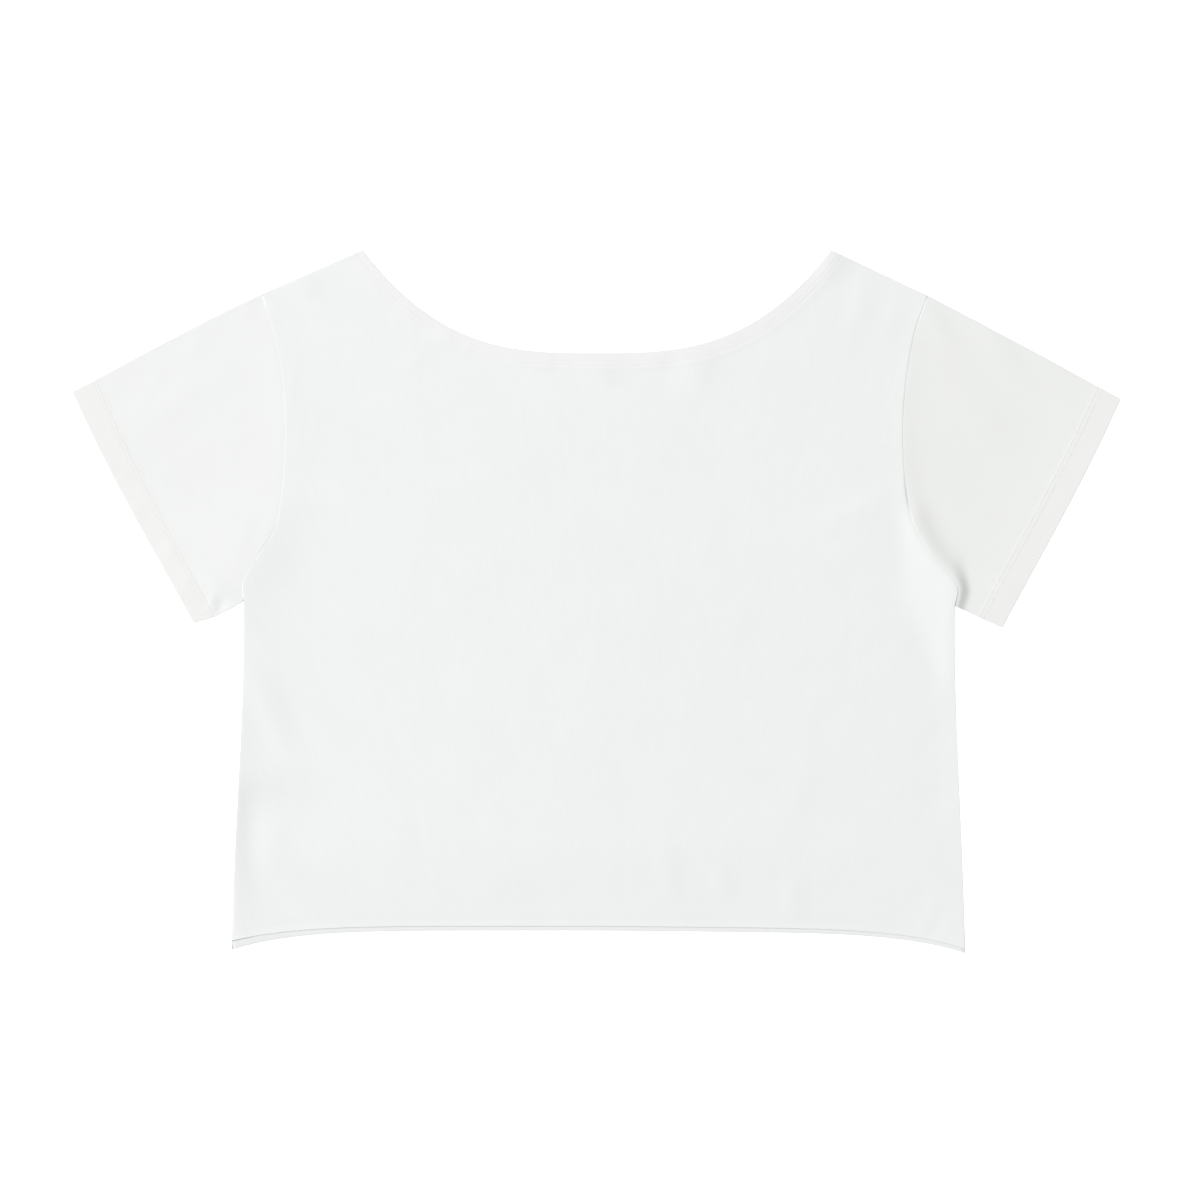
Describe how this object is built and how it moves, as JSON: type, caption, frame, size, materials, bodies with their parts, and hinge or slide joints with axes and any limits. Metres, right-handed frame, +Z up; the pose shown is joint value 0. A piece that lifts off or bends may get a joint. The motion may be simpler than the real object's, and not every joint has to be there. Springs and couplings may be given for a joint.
{
  "type": "crop top",
  "caption": "Cropped cotton jersey T-shirt laid flat: wide scooped neck, short set-in sleeves with turned hems, and a raw cut bottom hem.",
  "frame": {"origin": "middle of the laid-out garment's outline, on the surface that the back panel lies on", "axes": "+Z up from the surface and out of the front, +Y towards the neck, +X towards the wearer's left sleeve"},
  "size_m": [0.734, 0.4922, 0.0054],
  "materials": {
    "front_jersey": "matt off-white cotton single jersey",
    "back_jersey": "matt off-white cotton single jersey",
    "sleeve_jersey": "matt off-white cotton single jersey"
  },
  "bodies": {
    "root": {"front_panel": "front_jersey", "back_panel": "back_jersey", "left_sleeve": "sleeve_jersey", "right_sleeve": "sleeve_jersey"}
  },
  "joints": []
}
